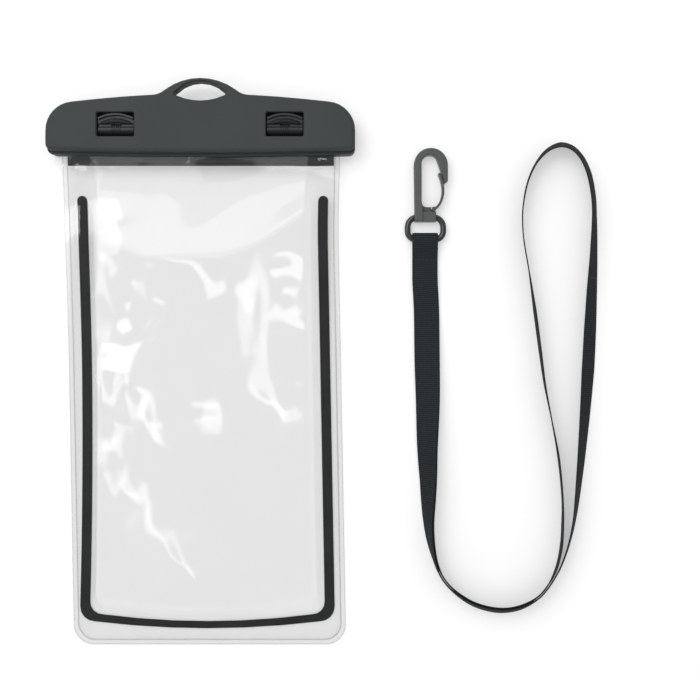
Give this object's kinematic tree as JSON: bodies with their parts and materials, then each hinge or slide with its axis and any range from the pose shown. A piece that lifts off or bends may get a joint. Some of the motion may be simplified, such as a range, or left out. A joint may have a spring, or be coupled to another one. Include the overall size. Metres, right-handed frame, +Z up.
{
  "type": "waterproof phone pouch",
  "caption": "Clear waterproof phone pouch with a dark snap clamp across its mouth, and a webbing neck lanyard with a ring and a plastic snap hook lying beside it.",
  "frame": {"origin": "Under the middle of the pouch's own bounding box, without the lanyard, on the surface that it lies on", "axes": "+X across the clamp towards the lanyard, +Y from the pouch's foot to the clamp and its cord eye, +Z up off the surface, towards the front film"},
  "size_m": [0.216, 0.2218, 0.012],
  "materials": {
    "clamp": "fine satin texture",
    "latch": "semi-gloss",
    "film": "clear glossy soft film",
    "band": "printed film under gloss",
    "strip": "soft film under gloss",
    "gasket": "matte",
    "webbing": "woven cross ribs",
    "hook": "satin",
    "ring": "semi-gloss"
  },
  "bodies": {
    "pouch": {"clamp_back": "clamp", "mouth_gasket": "gasket", "film_front": "film", "film_back": "film", "black_border": "band", "mouth_strip_front": "strip", "mouth_strip_back": "strip", "neck_strap": "webbing"},
    "front_half": {"clamp_front": "clamp"},
    "left_latch": {"latch_left": "latch"},
    "right_latch": {"latch_right": "latch"},
    "ring": {"hook_ring": "ring"},
    "hook": {"hook_body": "hook"},
    "gate": {"hook_gate": "hook"}
  },
  "joints": [
    {"name": "clamp_lift", "type": "slide", "parent": "pouch", "child": "front_half", "axis": [0, 0, 1], "range_m": [0, 0.02]},
    {"name": "latch_left_swing", "type": "hinge", "parent": "front_half", "child": "left_latch", "pos_m": [-0.03275, 0.0909, 0.0083], "axis": [1, 0, 0], "range_deg": [0, 70]},
    {"name": "latch_right_swing", "type": "hinge", "parent": "front_half", "child": "right_latch", "pos_m": [0.03275, 0.0909, 0.0083], "axis": [1, 0, 0], "range_deg": [0, 70]},
    {"name": "ring_swing", "type": "hinge", "parent": "pouch", "child": "ring", "pos_m": [0.0877, 0.049, 0.0025], "axis": [1, 0, 0], "range_deg": [0, 90]},
    {"name": "hook_tilt", "type": "hinge", "parent": "ring", "child": "hook", "pos_m": [0.0877, 0.05775, 0.0025], "axis": [1, 0, 0], "range_deg": [-90, 90]},
    {"name": "gate_flex", "type": "hinge", "parent": "hook", "child": "gate", "pos_m": [0.09095, 0.06085, 0.0025], "axis": [0, 0, 1], "range_deg": [0, 20], "stiffness_Nm_per_rad": 0.0005}
  ]
}
